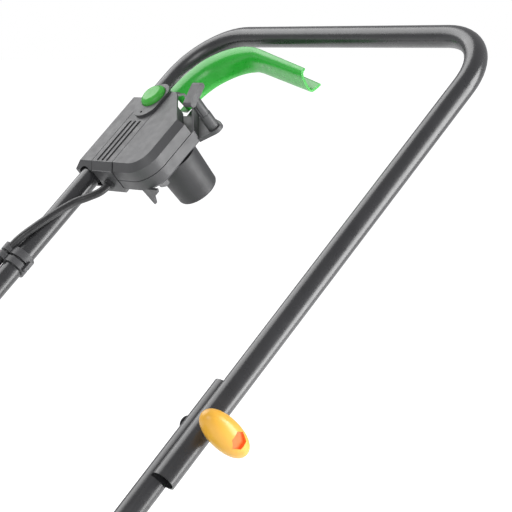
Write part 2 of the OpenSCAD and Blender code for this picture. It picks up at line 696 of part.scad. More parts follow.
// across the channel: towards the grip bar, then along the pivot's axis
lever_section = [
    [5.5, -11.3], [-1, -6.2], [-3.5, 9.7], [4.5, 11.5], [5, 13.5], [-5.5, 11.5], [-2.7, -7.5], [5.5, -13.5]];
function turn(t) = [t[1], -t[0]];
module channel() {
    p = smooth(lever_path, 2);
    w = smooth(lever_width, 2);
    n = len(lever_section);
    last = len(p) - 1;
    pts = [for (i = [0:last]) let (a = turn(heading(p, i))) for (q = lever_section)
        [p[i][0] + a[0] * q[0] * w[i], p[i][1] + a[1] * q[0] * w[i], q[1]]];
    quads = [for (k = [0:n / 2 - 2]) [k, k + 1, n - 2 - k, n - 1 - k]];
    polyhedron(pts, concat(
        [for (q = quads) [q[3], q[2], q[1], q[0]]], skin_faces(n, last), [for (q = quads) [for (k = q) last * n + k]]));
}
module switch_lever() color(green) at_handle() difference() {
    union() {
        channel();
        hull() {
            disc(8, -12.5, 11.5, pivot[0], pivot[1]);
            plate(-10.5, 9.5) translate([-178, 100]) square([14, 4]);
        }
    }
    disc(3 + fine, -40, 40, pivot[0], pivot[1]);
}
module lock_button() color(green) at_handle() translate([button_at[0], button_at[1], 0]) {
    rotate_extrude() polygon([[0, box_front - 9], [10.5, box_front - 9], [13.5, box_front - 7.4],
        [14.6, box_front - 4.8], [14.6, box_front - 0.6], [0, box_front - 0.6]]);
}
module lock_spring() color(steel) at_handle()
    for (i = [0:4]) translate([button_at[0] - 7, button_at[1] - 4, box_front + 0.2 + 0.8 * i])
        rotate_extrude($fn = 32) translate([3.5, 0]) circle(0.35, $fn = 16);

// ---------------------------------------------------------------- what is drawn

deck_shell();
motor_cover();
motor_housing();
motor_stator();
bearings();
capacitor();
front_axle();
rear_axle();
axle_clips();
chassis_screws();
lower_tube_left();
lower_tube_right();
clamp_bolts();
clamp_washers();
cable_lower();
cable_clips_lower();
flap_pin();
flap_spring();
rotor_shaft();
rotor_core();
cooling_fan();
blade_carrier();
blade();
blade_bolt();
front_left_tyre();
front_left_rim();
front_left_cap();
front_right_tyre();
front_right_rim();
front_right_cap();
rear_left_tyre();
rear_left_rim();
rear_left_cap();
rear_right_tyre();
rear_right_rim();
rear_right_cap();
rear_flap();
grass_box_basket();
grass_box_lid();
grass_box_grip();
upper_handle_tube();
box_tube_cover();
box_centre_band();
box_side_cover();
box_rear_shell();
box_screws();
inlet_shroud();
inlet_pins();
cable_hook();
micro_switch();
lever_pin();
cable_gland();
cable_upper();
cable_clip_upper();
cable_bend();
switch_lever();
lock_button();
lock_spring();
knob_left();
knob_right();
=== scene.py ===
"""Looks of the push lawn mower: materials, detailed pieces, light and camera round the fixed CAD frame."""
import json
import math

import bmesh
import bpy
from mathutils import Matrix, Vector


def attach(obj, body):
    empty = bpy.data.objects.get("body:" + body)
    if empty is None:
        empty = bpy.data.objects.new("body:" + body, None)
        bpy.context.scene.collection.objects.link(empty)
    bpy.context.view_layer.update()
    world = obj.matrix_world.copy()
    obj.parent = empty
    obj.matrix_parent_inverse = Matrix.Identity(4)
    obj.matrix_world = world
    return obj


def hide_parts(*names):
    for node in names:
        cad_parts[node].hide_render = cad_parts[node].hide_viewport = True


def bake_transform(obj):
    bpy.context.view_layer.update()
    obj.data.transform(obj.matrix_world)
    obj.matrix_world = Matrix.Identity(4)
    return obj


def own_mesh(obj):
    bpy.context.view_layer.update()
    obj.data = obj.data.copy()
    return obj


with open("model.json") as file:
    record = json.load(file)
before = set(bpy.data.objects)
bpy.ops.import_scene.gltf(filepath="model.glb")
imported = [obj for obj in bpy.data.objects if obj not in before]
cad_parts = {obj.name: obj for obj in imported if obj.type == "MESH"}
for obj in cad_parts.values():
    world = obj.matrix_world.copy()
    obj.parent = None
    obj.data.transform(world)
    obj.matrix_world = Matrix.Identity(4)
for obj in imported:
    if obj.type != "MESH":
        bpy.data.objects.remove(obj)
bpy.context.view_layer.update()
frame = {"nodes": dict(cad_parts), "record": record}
nodes = frame["nodes"]
scene = bpy.context.scene
MM = 0.001

# ---------------------------------------------------------------- the handle's own frame

HANDLE_Y, HANDLE_Z = 619.0, 940.0      # the grip bar's axis, in millimetres
SLOPE = math.radians(42.2)
COS, SIN = math.cos(SLOPE), math.sin(SLOPE)


def at_handle(x, along, away):
    """A point of the handle in metres: x across, along the legs from the grip bar, away behind their plane."""
    return Vector((x, HANDLE_Y - along * COS + away * SIN, HANDLE_Z - along * SIN - away * COS)) * MM


ACROSS = Vector((1, 0, 0))
DOWN_LEG = Vector((0, -COS, -SIN))
AWAY = Vector((0, SIN, -COS))

# ---------------------------------------------------------------- camera

camera = bpy.data.objects.new("camera", bpy.data.cameras.new("camera"))
scene.collection.objects.link(camera)
camera.data.lens = 136.5               # of a camera fitted to the outline of the bent handle
camera.data.sensor_width = 36.0
camera.data.clip_end = 300.0
right = Vector((0.6480, 0.7616, 0.0))
up = Vector((-0.0828, 0.0704, 0.9941))
ahead = up.cross(right)
place = Vector((1.4528, HANDLE_Y * MM - 1.3524, HANDLE_Z * MM - 0.0070))
camera.matrix_world = Matrix((
    (right.x, up.x, -ahead.x, place.x),
    (right.y, up.y, -ahead.y, place.y),
    (right.z, up.z, -ahead.z, place.z),
    (0, 0, 0, 1)))
scene.camera = camera

# ---------------------------------------------------------------- materials


class Shader:
    """A Principled material and short ways to wire procedural inputs to it."""

    def __init__(self, name):
        self.material = bpy.data.materials.new(name)
        self.material.use_nodes = True
        self.tree = self.material.node_tree
        self.shader = self.tree.nodes["Principled BSDF"]
        self.coordinates = self.tree.nodes.new("ShaderNodeTexCoord").outputs["Object"]
        self.normal = None

    def node(self, kind, **settings):
        made = self.tree.nodes.new(kind)
        for key, value in settings.items():
            setattr(made, key, value)
        return made

    def link(self, source, target):
        self.tree.links.new(source, target)

    def set(self, **values):
        for key, value in values.items():
            self.shader.inputs[key.replace("_", " ")].default_value = value

    def noise(self, size_mm, detail=2.0, stretch=None):
        """Noise whose features are about size_mm across."""
        source = self.coordinates
        if stretch:
            mapping = self.node("ShaderNodeMapping")
            mapping.inputs["Scale"].default_value = stretch
            self.link(source, mapping.inputs["Vector"])
            source = mapping.outputs["Vector"]
        made = self.node("ShaderNodeTexNoise")
        made.inputs["Scale"].default_value = 1000.0 / size_mm
        made.inputs["Detail"].default_value = detail
        self.link(source, made.inputs["Vector"])
        return made.outputs["Fac"]

    def cells(self, size_mm):
        made = self.node("ShaderNodeTexVoronoi")
        made.inputs["Scale"].default_value = 1000.0 / size_mm
        self.link(self.coordinates, made.inputs["Vector"])
        return made.outputs["Distance"]

    def spread(self, value, low, high, start=0.3, stop=0.7):
        made = self.node("ShaderNodeMapRange")
        made.inputs["From Min"].default_value = start
        made.inputs["From Max"].default_value = stop
        made.inputs["To Min"].default_value = low
        made.inputs["To Max"].default_value = high
        self.link(value, made.inputs["Value"])
        return made.outputs["Result"]

    def colour_between(self, value, first, second, start=0.3, stop=0.7):
        ramp = self.node("ShaderNodeValToRGB")
        ramp.color_ramp.elements[0].position = start
        ramp.color_ramp.elements[1].position = stop
        ramp.color_ramp.elements[0].color = (*first, 1)
        ramp.color_ramp.elements[1].color = (*second, 1)
        self.link(value, ramp.inputs["Fac"])
        return ramp.outputs["Color"]

    def relief(self, height, depth_mm):
        bump = self.node("ShaderNodeBump")
        bump.inputs["Strength"].default_value = 1.0
        bump.inputs["Distance"].default_value = depth_mm * MM
        self.link(height, bump.inputs["Height"])
        if self.normal:
            self.link(self.normal, bump.inputs["Normal"])
        self.normal = bump.outputs["Normal"]

    def done(self):
        if self.normal:
            self.link(self.normal, self.shader.inputs["Normal"])
        return self.material


def tone(colour, factor):
    return tuple(min(1.0, c * factor) for c in colour)


def plastic(name, colour, rough=0.42, grain_mm=0.7, grain_depth=0.02, variation=0.12, coat=0.0, specular=0.5):
    """Moulded plastic: a fine spark-eroded grain, uneven gloss, and slight flow marks in the colour."""
    m = Shader(name)
    m.set(Specular_IOR_Level=specular, Coat_Weight=coat, Coat_Roughness=0.12)
    flow = m.noise(45, 4)
    m.link(m.colour_between(flow, tone(colour, 1 - variation), tone(colour, 1 + variation)),
           m.shader.inputs["Base Color"])
    m.link(m.spread(m.noise(9, 5), rough - 0.06, rough + 0.07), m.shader.inputs["Roughness"])
    m.relief(m.cells(grain_mm), grain_depth)
    m.relief(m.noise(28, 2), 0.05)
    return m.done()


def paint(name, colour, rough=0.3):
    """Powder paint on steel tube: orange peel, small specks, dust that dulls the gloss."""
    m = Shader(name)
    m.set(Specular_IOR_Level=0.62, Coat_Weight=0.2, Coat_Roughness=0.2)
    m.link(m.colour_between(m.noise(30, 5), tone(colour, 0.85), tone(colour, 1.2)), m.shader.inputs["Base Color"])
    m.link(m.spread(m.noise(14, 6), rough - 0.03, rough + 0.05), m.shader.inputs["Roughness"])
    m.relief(m.noise(3.2, 2), 0.003)
    m.relief(m.noise(0.9, 1), 0.0008)
    return m.done()


def metal(name, colour, rough=0.32, stretch=(1, 1, 12), streak_mm=2.5, depth=0.006):
    """Brushed or rolled metal with streaks and a few stains."""
    m = Shader(name)
    m.set(Metallic=1.0, Specular_IOR_Level=0.5)
    streaks = m.noise(streak_mm, 4, stretch)
    m.link(m.colour_between(m.noise(35, 4), tone(colour, 0.82), tone(colour, 1.1)), m.shader.inputs["Base Color"])
    m.link(m.spread(streaks, rough - 0.1, rough + 0.14), m.shader.inputs["Roughness"])
    m.relief(streaks, depth)
    return m.done()


def laminated(name, colour, gap):
    """Stacked sheet: fine dark lines across Z between metal layers."""
    m = Shader(name)
    m.set(Metallic=0.8)
    wave = m.node("ShaderNodeTexWave", bands_direction="Z")
    wave.inputs["Scale"].default_value = 320.0
    wave.inputs["Distortion"].default_value = 0.4
    m.link(m.coordinates, wave.inputs["Vector"])
    m.link(m.colour_between(wave.outputs["Fac"], gap, colour, 0.15, 0.5), m.shader.inputs["Base Color"])
    m.link(m.spread(m.noise(6, 4), 0.4, 0.6), m.shader.inputs["Roughness"])
    m.relief(wave.outputs["Fac"], 0.05)
    return m.done()


def rubber(name, colour, rough=0.5, coat=0.0):
    """Extruded cable sheath or tyre compound: dull, faintly dusty, with fine pits."""
    m = Shader(name)
    m.set(Specular_IOR_Level=0.45, Coat_Weight=coat, Coat_Roughness=0.3)
    m.link(m.colour_between(m.noise(22, 6), tone(colour, 0.8), tone(colour, 1.5)), m.shader.inputs["Base Color"])
    m.link(m.spread(m.noise(5, 5), rough - 0.08, rough + 0.12), m.shader.inputs["Roughness"])
    m.relief(m.noise(0.9, 3), 0.015)
    return m.done()


GREEN = (0.030, 0.330, 0.055)
# one finish for each material slot of the record
FINISHES = {
    "deck_plastic": plastic("deck_plastic", GREEN, 0.33, 1.1, 0.03, 0.1, coat=0.15),
    "cover_plastic": plastic("cover_plastic", (0.040, 0.042, 0.045), 0.5, 0.8, 0.035),
    "box_plastic": plastic("box_plastic", (0.070, 0.070, 0.073), 0.43, 0.55, 0.018, 0.1),
    "tube_paint": paint("tube_paint", (0.027, 0.027, 0.029), 0.27),
    "steel": metal("steel", (0.62, 0.63, 0.65), 0.3),
    "blade_steel": metal("blade_steel", (0.30, 0.31, 0.33), 0.38, (1, 14, 1)),
    "motor_steel": metal("motor_steel", (0.50, 0.51, 0.53), 0.42, (1, 1, 8)),
    "lamination": laminated("lamination", (0.42, 0.42, 0.44), (0.06, 0.06, 0.065)),
    "winding": laminated("winding", (0.55, 0.26, 0.10), (0.16, 0.06, 0.025)),
    "tyre_rubber": rubber("tyre_rubber", (0.022, 0.022, 0.023), 0.62),
    "rim_plastic": plastic("rim_plastic", (0.055, 0.056, 0.060), 0.45, 0.8, 0.03),
    "cap_plastic": plastic("cap_plastic", GREEN, 0.3, 0.9, 0.02, coat=0.2),
    "knob_plastic": plastic("knob_plastic", (0.840, 0.440, 0.045), 0.33, 0.8, 0.012, 0.05, coat=0.15),
    "lever_plastic": plastic("lever_plastic", (0.020, 0.400, 0.030), 0.3, 0.8, 0.008, 0.05, coat=0.15),
    "button_plastic": plastic("button_plastic", (0.050, 0.400, 0.040), 0.36, 0.6, 0.012, 0.06),
    "cable_rubber": rubber("cable_rubber", (0.020, 0.020, 0.021), 0.36, coat=0.15),
    "black_plastic": plastic("black_plastic", (0.030, 0.030, 0.032), 0.46, 0.6, 0.02),
    "brass": metal("brass", (0.78, 0.60, 0.30), 0.24),
    "capacitor_case": plastic("capacitor_case", (0.78, 0.78, 0.75), 0.35, 1.0, 0.015, 0.03),
}
# painted shade: a darker, redder, less glossy copy of the knob plastic for the walls of the knob's hexagonal
# recess
KNOB_RECESS_SHADE = plastic("knob_recess_painted_shade", (1.0, 0.20, 0.035), 0.45, 0.8, 0.01, 0.05, specular=0.3)

# ---------------------------------------------------------------- mesh helpers


def new_piece(name, vertices, faces, slot_name, smooth_angle=40):
    mesh = bpy.data.meshes.new(name)
    mesh.from_pydata([tuple(v) for v in vertices], [], faces)
    mesh.update()
    made = bpy.data.objects.new(name, mesh)
    scene.collection.objects.link(made)
    mesh.materials.append(FINISHES[slot_name])
    shade(made, smooth_angle)
    return made


def shade(piece, angle=40):
    """Smooth shading that keeps edges sharper than angle, by marking them."""
    mesh = piece.data
    work = bmesh.new()
    work.from_mesh(mesh)
    bmesh.ops.recalc_face_normals(work, faces=work.faces)
    limit = math.radians(angle)
    for face in work.faces:
        face.smooth = True
    for edge in work.edges:
        edge.smooth = not (len(edge.link_faces) == 2 and edge.calc_face_angle(0.0) > limit)
    work.to_mesh(mesh)
    work.free()


def bake_modifiers(piece):
    """Replaces the piece's mesh by its evaluated one."""
    bpy.context.view_layer.update()
    evaluated = piece.evaluated_get(bpy.context.evaluated_depsgraph_get())
    mesh = bpy.data.meshes.new_from_object(evaluated)
    piece.modifiers.clear()
    piece.data = mesh
    return piece


def bevel(piece, width_mm, segments=2, angle=35):
    modifier = piece.modifiers.new("edges", "BEVEL")
    modifier.width = width_mm * MM
    modifier.segments = segments
    modifier.limit_method = "ANGLE"
    modifier.angle_limit = math.radians(angle)
    modifier.use_clamp_overlap = True
    modifier.harden_normals = True
    return modifier


def catmull(points, steps):
    """Points along a smooth curve through the given ones."""
    made = []
    for i in range(len(points) - 1):
        a, b, c, d = points[max(i - 1, 0)], points[i], points[i + 1], points[min(i + 2, len(points) - 1)]
        for k in range(steps):
            u = k / steps
            made.append(b + (c - a) * (u / 2) + (2 * a - 5 * b + 4 * c - d) * (u * u / 2)
                        + (3 * b - a - 3 * c + d) * (u ** 3 / 2))
    made.append(points[-1])
    return made


def ring_faces(spans, count):
    """The quads between successive closed rings of count points."""
    return [[i * count + k, i * count + (k + 1) % count, (i + 1) * count + (k + 1) % count, (i + 1) * count + k]
            for i in range(spans) for k in range(count)]


def tube(name, path, radius, slot_name, sides=20, smooth_angle=60):
    """A closed round tube along a path, with a frame carried from point to point."""
    rings, side = [], None
    for i, point in enumerate(path):
        heading = (path[min(i + 1, len(path) - 1)] - path[max(i - 1, 0)]).normalized()
        side = heading.orthogonal() if side is None else side - heading * side.dot(heading)
        side.normalize()
        other = heading.cross(side)
        rings += [point + radius * (math.cos(a) * side + math.sin(a) * other)
                  for a in (2 * math.pi * k / sides for k in range(sides))]
    last = len(path) - 1
    faces = ring_faces(last, sides)
    faces += [list(range(sides))[::-1], [last * sides + k for k in range(sides)]]
    return new_piece(name, rings, faces, slot_name, smooth_angle)


def revolve(name, profile, centre, axis, slot_name, sides=64, smooth_angle=35):
    """A closed solid turned from a loop of (radius, height) points about axis."""
    z = axis.normalized()
    x = z.orthogonal().normalized()
    y = z.cross(x)
    vertices, faces = [], []
    for r, h in profile:
        for k in range(sides):
            a = 2 * math.pi * k / sides
            vertices.append(centre + z * h + x * (r * math.cos(a)) + y * (r * math.sin(a)))
    n = len(profile)
    for i in range(n):
        j = (i + 1) % n
        for k in range(sides):
            m = (k + 1) % sides
            faces.append([i * sides + k, i * sides + m, j * sides + m, j * sides + k])
    made = new_piece(name, vertices, faces, slot_name, 180)
    work = bmesh.new()
    work.from_mesh(made.data)
    bmesh.ops.remove_doubles(work, verts=work.verts, dist=1e-7)
    bmesh.ops.dissolve_degenerate(work, edges=work.edges, dist=1e-7)
    work.to_mesh(made.data)
    work.free()
    shade(made, smooth_angle)
    return made


def cut(piece, cutter):
    """Boolean difference, with the cutter removed afterwards."""
    modifier = piece.modifiers.new("cut", "BOOLEAN")
    modifier.operation = "DIFFERENCE"
    modifier.solver = "EXACT"
    modifier.object = cutter
    bake_modifiers(piece)
    bpy.data.objects.remove(cutter)
    return piece


# ---------------------------------------------------------------- the CAD nodes that stay

SLOT_OF = {row["node"]: row["material_slot"] for row in frame["record"]["subparts"]}
EDGE_WIDTHS = {
    "box_side_cover": 0.9, "box_rear_shell": 0.8, "box_tube_cover": 0.9, "box_centre_band": 0.7,
    "cable_hook": 0.8, "cable_clip_upper": 0.8, "cable_clips_lower": 0.7, "cable_gland": 0.4,
    "deck_shell": 1.6, "motor_cover": 1.4, "grass_box_lid": 1.8, "grass_box_basket": 1.2, "grass_box_grip": 1.5,
    "rear_flap": 1.0, "blade_carrier": 0.6, "blade": 0.4,
}


def dress_cad_nodes():
    for name, node in nodes.items():
        node.data.materials.clear()
        node.data.materials.append(FINISHES[SLOT_OF[name]])
        for face in node.data.polygons:
            face.use_smooth = True
            face.material_index = 0
        if name in EDGE_WIDTHS:
            bevel(node, EDGE_WIDTHS[name])
        else:
            modifier = node.modifiers.new("split", "EDGE_SPLIT")
            modifier.split_angle = math.radians(35)


dress_cad_nodes()

# ---------------------------------------------------------------- motor cable

CABLE_RADIUS = 4.25
# points of the handle's frame, as in the CAD: from the gland to the fold, past it, and down to the motor cover
UPPER_ROUTE = [
    (-186, 206, 6), (-186, 222, 6), (-187.5, 234, 4.5), (-193, 246, 0.5), (-199, 257, -3.5), (-202.5, 271, -7.5),
    (-206, 288, -11.5), (-210.5, 306, -14.6), (-217, 324, -15.8), (-224.5, 342, -13.2), (-227, 360, -12),
    (-222, 380, -16), (-208, 400, -18.5), (-193, 416, -14), (-184.5, 429, -5), (-183, 441, 0)]
BEND_ROUTE = [(-183, 443 + 10 * k, 0) for k in range(1, 8)]
LOWER_ROUTE = [
    (-183, 525, 0), (-185, 560, 0), (-190.5, 600, 0), (-190.6, 630, 0), (-190.6, 700, 0), (-190.6, 800, 0),
    (-190.6, 900, 0),
    (-190.6, 1000, 0), (-187, 1035, -4), (-176, 1068, -14), (-160, 1100, -22), (-142, 1135, -26),
    (-126, 1165, -25), (-112, 1187, -21), (-98, 1206, -16)]


def make_cable():
    route = [at_handle(*p) for p in UPPER_ROUTE + BEND_ROUTE + LOWER_ROUTE]
    cable = tube("motor_cable", catmull(route, 7), CABLE_RADIUS * MM, "cable_rubber", 22)
    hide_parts("cable_upper", "cable_bend", "cable_lower")
    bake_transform(cable)


make_cable()

# ---------------------------------------------------------------- clamp knobs

FOLD_AT = 483
KNOB_IN = 229.2
KNOB_HALF = 29.5
KNOB_TILT = math.radians(6)
RECESS_RADIUS = 8.3


def make_knob(side, name):
    """An egg-shaped clamp knob with a collar and a hexagonal recess in its outer face."""
    sign = 1 if side == "left" else -1
    centre = at_handle(sign * (KNOB_IN + 15), FOLD_AT, 0)
    long = (AWAY * math.cos(KNOB_TILT) - DOWN_LEG * math.sin(KNOB_TILT)).normalized()
    out = ACROSS * sign
    short = out.cross(long)
    rows, columns = 40, 48
    vertices = []
    for i in range(rows + 1):
        polar = math.pi * i / rows
        z = KNOB_HALF * math.cos(polar)
        r = 13.68 * math.sin(polar) ** 0.86
        for k in range(columns):
            a = 2 * math.pi * k / columns
            vertices.append(centre + (long * z + out * (r * math.cos(a)) + short * (r * math.sin(a))) * MM)
    knob = new_piece(name + "_grip", vertices, ring_faces(rows, columns), "knob_plastic", 180)
    work = bmesh.new()
    work.from_mesh(knob.data)
    bmesh.ops.remove_doubles(work, verts=work.verts, dist=1e-6)
    bmesh.ops.recalc_face_normals(work, faces=work.faces)
    work.to_mesh(knob.data)
    work.free()
    recess_centre = centre + (out * 9.2 + long * 7.0) * MM
    prism = []
    for depth in (0, 12):
        for k in range(6):
            a = math.radians(60 * k + 30)
            across_flat = long * (RECESS_RADIUS * math.cos(a)) + short * (RECESS_RADIUS * math.sin(a))
            prism.append(recess_centre + (out * depth + across_flat) * MM)
    sides = [[k, (k + 1) % 6, 6 + (k + 1) % 6, 6 + k] for k in range(6)]
    cutter = new_piece("knob_cutter", prism, [[5, 4, 3, 2, 1, 0], [6, 7, 8, 9, 10, 11]] + sides, "knob_plastic")
    # the cut walls of the recess take the painted-shade copy of the knob plastic
    cutter.data.materials.clear()
    cutter.data.materials.append(KNOB_RECESS_SHADE)
    knob.data.materials.append(KNOB_RECESS_SHADE)
    cut(knob, cutter)
    shade(knob, 32)
    bevel(knob, 0.5, 2, 35)
    bake_modifiers(knob)
    collar = revolve(
        name + "_collar",
        [(r * MM, h * MM) for r, h in ((3.2, 0), (8.6, 0), (9.2, 0.8), (8.2, 9), (3.2, 9))],
        at_handle(sign * (KNOB_IN + 0.2), FOLD_AT, 0), out, "knob_plastic")
    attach(knob, name)
    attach(collar, name)
    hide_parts(name)


make_knob("left", "knob_left")
make_knob("right", "knob_right")

# ---------------------------------------------------------------- lever and lock button

PIVOT = (-176, 119)
BUTTON = (-186, 116)
BOX_FRONT = -18.0
LEVER_PATH = [
    (-171.5, 104), (-169.3, 88), (-166, 75), (-158, 60), (-144, 48), (-128, 40.5), (-111, 37.8), (-96, 39.2),
    (-60, 49.2), (-24, 59.3), (0, 66)]
LEVER_WIDTH = [2, 2.2, 2.3, 2.5, 2.3, 1.9, 1.5, 1.25, 1.1, 1, 0.9]
LEVER_SECTION = [
    (4.8, -12.5), (2.6, -12.1), (0.0, -10.2), (-1.8, -6.0), (-2.9, 0.0), (-3.7, 5.5), (-3.2, 9.8), (-1.0, 12.0),
    (2.2, 12.6), (4.9, 12.6)]
LIP_EXTRA = 4.5
LEVER_WALL = 2.5
CAP_POINTS = 5                         # on the round edge of the lever's wall


def moulded_section(line, half):
    """A closed outline of constant wall round a centre line, with round ends: both sides and the two caps."""
    left, right = [], []
    for k, point in enumerate(line):
        along = (line[min(k + 1, len(line) - 1)] - line[max(k - 1, 0)]).normalized()
        side = Vector((-along.y, along.x)) * half
        left.append(point + side)
        right.append(point - side)
    caps = []
    for end, before in ((line[-1], line[-2]), (line[0], line[1])):
        out = (end - before).normalized()
        side = Vector((-out.y, out.x))
        caps.append([end + (side * math.cos(t) + out * math.sin(t)) * half
                     for t in (math.pi * m / (CAP_POINTS + 1) for m in range(1, CAP_POINTS + 1))])
    return left, caps[0], right[::-1], caps[1]


def make_lever():
    """The bail lever: a moulded channel of even wall, broad at its root, that curls at both edges."""
    path = catmull([Vector((x, l, 0)) for x, l in LEVER_PATH], 6)
    widths = [v.x for v in catmull([Vector((w, 0, 0)) for w in LEVER_WIDTH], 6)]
    line = catmull([Vector(p) for p in LEVER_SECTION], 3)
    vertices = []
    for i, point in enumerate(path):
        heading = (path[min(i + 1, len(path) - 1)] - path[max(i - 1, 0)]).normalized()
        turned = Vector((heading.y, -heading.x, 0))
        # the lip away from the face grows over the middle of the lever
        lip = LIP_EXTRA * max(0.0, min(1.0, (i / (len(path) - 1) - 0.35) / 0.4))
        scaled = [Vector((v.x * widths[i] + (lip * max(0.0, (v.x - 1.0) / 4.0) if v.y > 8 else 0.0), v.y))
                  for v in line]
        parts = moulded_section(scaled, LEVER_WALL / 2)
        for s in [v for part in parts for v in part]:
            q = point + turned * s.x
            vertices.append(at_handle(q.x, q.y, s.y))
    side, arc = len(line), CAP_POINTS
    count = 2 * side + 2 * arc
    faces = ring_faces(len(path) - 1, count)
    for base in (0, (len(path) - 1) * count):
        for k in range(side - 1):
            faces.append([base + k, base + k + 1, base + 2 * side + arc - 2 - k, base + 2 * side + arc - 1 - k])
        faces.append([base + k for k in range(side - 1, side + arc + 1)])
        faces.append([base + k % count for k in range(2 * side + arc - 1, count + 1)])
    lever = new_piece("lever_channel", vertices, faces, "lever_plastic", 50)
    hub = revolve(
        "lever_hub", [(3.1 * MM, -12.4 * MM), (7.2 * MM, -12.4 * MM), (8 * MM, -11.6 * MM), (8 * MM, 10.6 * MM),
                      (7.2 * MM, 11.4 * MM), (3.1 * MM, 11.4 * MM)],
        at_handle(*PIVOT, 0), AWAY, "lever_plastic")
    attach(lever, "switch_lever")
    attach(hub, "switch_lever")
    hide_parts("switch_lever")
    return lever


def make_button():
    """The lock-off button, a thick disc with a broad sloped rim, and the coil spring below it."""
    top = BOX_FRONT - 9
    profile = [(0.01, top + 0.1), (9.2, top), (10.3, top + 0.15), (11.0, top + 0.6), (13.2, top + 2.2),
               (13.9, top + 3.0), (14.4, top + 4.4), (14.55, top + 6.0), (14.55, top + 8.4), (0.01, top + 8.4)]
    button = revolve("lock_button_cap", [(r * MM, h * MM) for r, h in profile], at_handle(*BUTTON, 0), AWAY,
                     "button_plastic", 72)
    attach(button, "lock_button")
    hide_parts("lock_button")
    turns, steps, coil_radius, pitch = 4.5, 24, 3.5, 0.68
    coil = []
    for t in (k / steps for k in range(int(turns * steps) + 1)):
        coil.append(at_handle(BUTTON[0] - 7 + coil_radius * math.cos(2 * math.pi * t),
                              BUTTON[1] - 4 + coil_radius * math.sin(2 * math.pi * t),
                              BOX_FRONT + 0.35 + pitch * t))
    spring = tube("lock_spring_coil", coil, 0.3 * MM, "steel", 8)
    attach(spring, "upper_handle")
    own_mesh(spring)
    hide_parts("lock_spring")


make_lever()
make_button()

# ---------------------------------------------------------------- wheels

TYRE_WIDTH = 36
WHEEL_IN = 212
ROTOR_Y = -345
WHEELS = {
    "front_left": (1, -207, 70), "front_right": (-1, -207, 70),
    "rear_left": (1, 225, 85), "rear_right": (-1, 225, 85),
}


def make_tyre(name, side, y, radius):
    """A tyre ring with two staggered rows of slanted lugs."""
    centre = Vector((side * WHEEL_IN, ROTOR_Y + y, radius)) * MM
    out = ACROSS * side
    r = radius
    w = TYRE_WIDTH
    near = [(r - 10.9, 3), (r - 8, 1.2), (r - 5.4, 0.7), (r - 3.6, 2.6), (r - 2.9, 6), (r - 2.6, 11)]
    profile = near + [(r - 2.4, w / 2)] + [(a, w - h) for a, h in near[::-1]]
    tyre = revolve(f"{name}_tyre_ring", [(a * MM, h * MM) for a, h in profile], centre, out, "tyre_rubber",
                   120, 50)
    lugs = round(math.pi * r / 9.5)
    vertices, faces = [], []
    up_axis = Vector((0, 0, 1))
    along = out.cross(up_axis)
    for row in (0, 1):
        for k in range(lugs):
            start = 2 * math.pi * (k + 0.5 * row) / lugs
            corners = []
            for h, lean, low, high in ((2.2, 0.0, r - 5, r - 2.2), (w / 2 - 1.2, 0.32, r - 3.4, r - 0.08)):
                if row:
                    h = w - h
                for edge in (0.0, 0.52):
                    angle = start + (lean + edge) * 2 * math.pi / lugs
                    direction = up_axis * math.cos(angle) + along * math.sin(angle)
                    for rad in (low, high):
                        corners.append(centre + (direction * rad + out * h) * MM)
            base = len(vertices)
            vertices += corners
            for f in ((0, 1, 3, 2), (4, 6, 7, 5), (0, 4, 5, 1), (2, 3, 7, 6), (1, 5, 7, 3), (0, 2, 6, 4)):
                faces.append([base + i for i in f])
    tread = new_piece(f"{name}_tread", vertices, faces, "tyre_rubber", 30)
    bevel(tread, 0.5, 2, 35)
    bake_modifiers(tread)
    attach(tyre, f"{name}_wheel")
    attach(tread, f"{name}_wheel")
    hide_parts(f"{name}_tyre")


for wheel, (side, y, radius) in WHEELS.items():
    make_tyre(wheel, side, y, radius)

# ---------------------------------------------------------------- mouldings below the handle

ROOF_Z = 120


def on_deck(x, y, z):
    """A point of the deck in metres, measured from the blade's axis on the ground."""
    return Vector((x, ROTOR_Y + y, z)) * MM


def outline(circles, samples=72):
    """The convex outline round (x, y, radius) circles, anticlockwise."""
    points = sorted({(round(x + r * math.cos(t), 4), round(y + r * math.sin(t), 4)) for x, y, r in circles
                     for t in (2 * math.pi * k / samples for k in range(samples))})

    def chain(row):
        kept = []
        for q in row:
            while len(kept) > 1 and ((kept[-1][0] - kept[-2][0]) * (q[1] - kept[-2][1])
                                     - (kept[-1][1] - kept[-2][1]) * (q[0] - kept[-2][0])) <= 0:
                kept.pop()
            kept.append(q)
        return kept[:-1]
    return chain(points) + chain(points[::-1])


def bead(name, points, radius, body, slot_name, closed=False, sides=12):
    """A rounded moulding laid along points, riding on a body."""
    path = points + points[:2] if closed else points
    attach(tube(name, path, radius * MM, slot_name, sides), body)


def loop(circles, inset, z):
    return [on_deck(x, y, z) for x, y in outline([(a, b, c - inset) for a, b, c in circles])]


DECK_CIRCLES = [(0, 0, 199), (-120, -225, 60), (120, -225, 60), (-169, 212, 30), (169, 212, 30)]
COVER_CIRCLES = [(0, 0, 126), (0, -92, 96)]


def rounded_box(name, low, high, radius, body, slot_name):
    corners = [on_deck(x, y, z) for z in (low[2], high[2]) for x, y in
               ((low[0], low[1]), (high[0], low[1]), (high[0], high[1]), (low[0], high[1]))]
    walls = [(k, (k + 1) % 4, 4 + (k + 1) % 4, 4 + k) for k in range(4)]
    box = new_piece(name, corners, [(3, 2, 1, 0), (4, 5, 6, 7)] + walls, slot_name)
    bevel(box, radius, 4, 30)
    bake_modifiers(box)
    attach(box, body)


